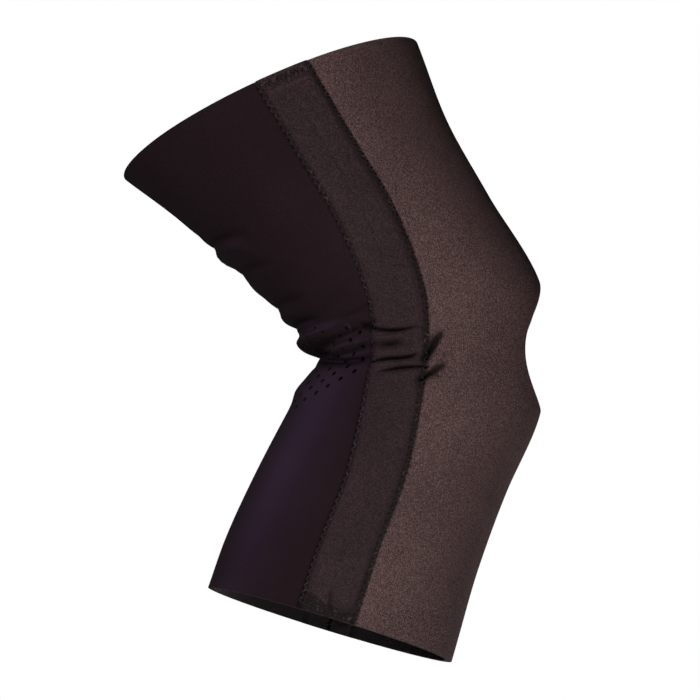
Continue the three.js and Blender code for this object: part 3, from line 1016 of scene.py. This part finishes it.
def stay(name, side, where):
    """A flat spiral stay: steel wire wound flat, so that it bends in every direction."""
    first, last = STAY_ENDS[where]
    middle = TAPE_SIGNS[where] * STAY_SPACING / 2
    fine = np.linspace(first, last, STAY_RULER_POINTS)
    turns = round(steps_along(place(fine, beside_tape(fine, middle))).sum() / COIL_PITCH)
    at = np.linspace(0, turns, turns * PER_TURN + 1)
    station = first + (last - first) * at / turns
    wave = np.cos(2 * math.pi * at)
    reach, rise = STAY_WIDTH / 2 - WIRE_RADIUS, STAY_THICKNESS / 2 - WIRE_RADIUS
    distance = middle + reach * np.sign(wave) * np.abs(wave) ** COIL_SQUARENESS
    height = STAY_MIDDLE_HEIGHT + rise * np.sin(2 * math.pi * at)
    angle = side * beside_tape(station, distance)
    centres = place(station, angle, height + relief(station, angle)[0])
    outward = place(station, side * beside_tape(station, middle), height + WELL_OUTSIDE) - centres
    made = tube(f"{name}_{where}_spiral_stay", centres, outward, WIRE_RADIUS, STAY_STEEL)
    return bends(made, "stay_steel", f"{name}_{where}_stay")


# ---- the camera, the lights and the floor ----

VIEW_TARGET = Vector((-0.039, 0, 0))
VIEW_DISTANCE = 1.5
VIEW_BELOW = math.radians(9)
VIEW_WIDTH = 0.3654  # of the picture, at the target
FLOOR_HEIGHT = -0.47  # below a standing wearer's knee
FLOOR_SIZE = 8
SURROUND_STRENGTH = 0.035  # as the sleeve sees it
WARM, COOL = (1, 0.95, 0.93), (0.72, 0.5, 1)
LOW_KEY_POWERS = {"right": 2.6, "left": 1.8}  # watts, as every light's power is


def aim(thing, target):
    """Turns a light or the camera towards a point."""
    thing.rotation_euler = (Vector(target) - thing.location).to_track_quat("-Z", "Y").to_euler()


def add_camera():
    """The photographed view: from the sleeve's right side and a little below it."""
    data = bpy.data.cameras.new("camera")
    data.lens = data.sensor_width * VIEW_DISTANCE / VIEW_WIDTH
    camera = bpy.data.objects.new("camera", data)
    bpy.context.scene.collection.objects.link(camera)
    back = Vector((0, -math.cos(VIEW_BELOW), -math.sin(VIEW_BELOW)))
    camera.location = VIEW_TARGET + VIEW_DISTANCE * back
    aim(camera, VIEW_TARGET)
    bpy.context.scene.camera = camera


def add_softbox(
    name,
    location,
    size,
    power,
    colour=(1, 1, 1),
    target=(0, 0, 0),
    shine=True,
    soft=True,
    spread=180,
):
    """An area light that the camera doesn't see. shine says whether it makes highlights, soft whether it
    lights the dull part of the cloth, and spread is how wide its beam is, in degrees."""
    data = bpy.data.lights.new(name, "AREA")
    data.shape = "RECTANGLE"
    data.size, data.size_y = size
    data.energy = power
    data.color = colour
    data.spread = math.radians(spread)
    light = bpy.data.objects.new(name, data)
    bpy.context.scene.collection.objects.link(light)
    light.location = location
    light.visible_camera = False
    light.visible_glossy = shine
    light.visible_diffuse = soft
    aim(light, target)


def add_lights():
    """Soft light from below and from both sides, but not from the front, where the thigh stays dark. A
    cool shine comes from behind, and a little light falls inside the sleeve."""
    for name, side in SIDES.items():
        x, y = 0.16, 0.42 * side
        low, above = (x, y, FLOOR_HEIGHT + 0.015), (x, y, 1)
        add_softbox(f"{name}_low_key", low, (0.42, 0.42), LOW_KEY_POWERS[name], WARM, target=above)
    add_softbox("front_fill", (-0.65, -1.3, 0.3), (0.5, 0.5), 21, WARM, shine=False)
    add_softbox("far_fill", (-0.1, 1.5, 0.1), (0.6, 0.6), 16, WARM, shine=False)
    add_softbox("cool_side", (-1.0, 0.1, 0.6), (0.6, 0.8), 3.4, COOL, soft=False)
    inside = (0, 0, 0.01)
    add_softbox("inner", (-0.32, 0, 0.52), (0.1, 0.1), 0.25, WARM, inside, shine=False, spread=14)
    over_floor, down = (0, 0, FLOOR_HEIGHT + 0.12), (0, 0, -10)
    add_softbox("floor_wash", over_floor, (FLOOR_SIZE, FLOOR_SIZE), 190, target=down)


def add_world():
    """A pale surround that lights the sleeve less than it shows, as a studio with flags does."""
    world = bpy.data.worlds.new("studio")
    bpy.context.scene.world = world
    world.use_nodes = True
    tree = world.node_tree
    tree.nodes.clear()
    seen = tree.nodes.new("ShaderNodeBackground")
    seen.inputs["Color"].default_value = (1, 1, 1, 1)
    lights = tree.nodes.new("ShaderNodeBackground")
    lights.inputs["Color"].default_value = (1, 0.95, 0.95, 1)
    lights.inputs["Strength"].default_value = SURROUND_STRENGTH
    path = tree.nodes.new("ShaderNodeLightPath")
    mix = tree.nodes.new("ShaderNodeMixShader")
    out = tree.nodes.new("ShaderNodeOutputWorld")
    tree.links.new(path.outputs["Is Camera Ray"], mix.inputs[0])
    tree.links.new(lights.outputs[0], mix.inputs[1])
    tree.links.new(seen.outputs[0], mix.inputs[2])
    tree.links.new(mix.outputs[0], out.inputs["Surface"])


def add_floor():
    """A plain pale floor, below the sleeve, which its wearer's leg would hold up."""
    n = Nodes("floor")
    position = n.add("ShaderNodeTexCoord").outputs["Object"]
    mottle = n.noise(position, MOTTLE, 3.0)
    colour = n.ramp(mottle, (0.3, (0.78, 0.78, 0.77)), (0.7, (0.82, 0.82, 0.81)))
    n.set(Base_Color=colour, Roughness=0.7)
    bpy.ops.mesh.primitive_plane_add(size=FLOOR_SIZE, location=(0, 0, FLOOR_HEIGHT))
    floor = bpy.context.object
    floor.name = "floor"
    floor.data.materials.append(n.material)
    floor.visible_diffuse = False
    floor.visible_glossy = False


add_camera()
add_world()
add_floor()
add_lights()
bpy.context.scene.view_settings.view_transform = "Standard"

front_panel()
back_panel()
for name, side in SIDES.items():
    tape(name, side)
    stitching(name, side)
    panel_seam(name, side)
    for end in CLOSURES:
        closure(name, side, end)
    for where in STAY_ENDS:
        stay(name, side, where)
        for end in ("upper", "lower"):
            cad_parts[f"{name}_{where}_stay_{end}_cap"].data.materials[0] = CAP_STEEL
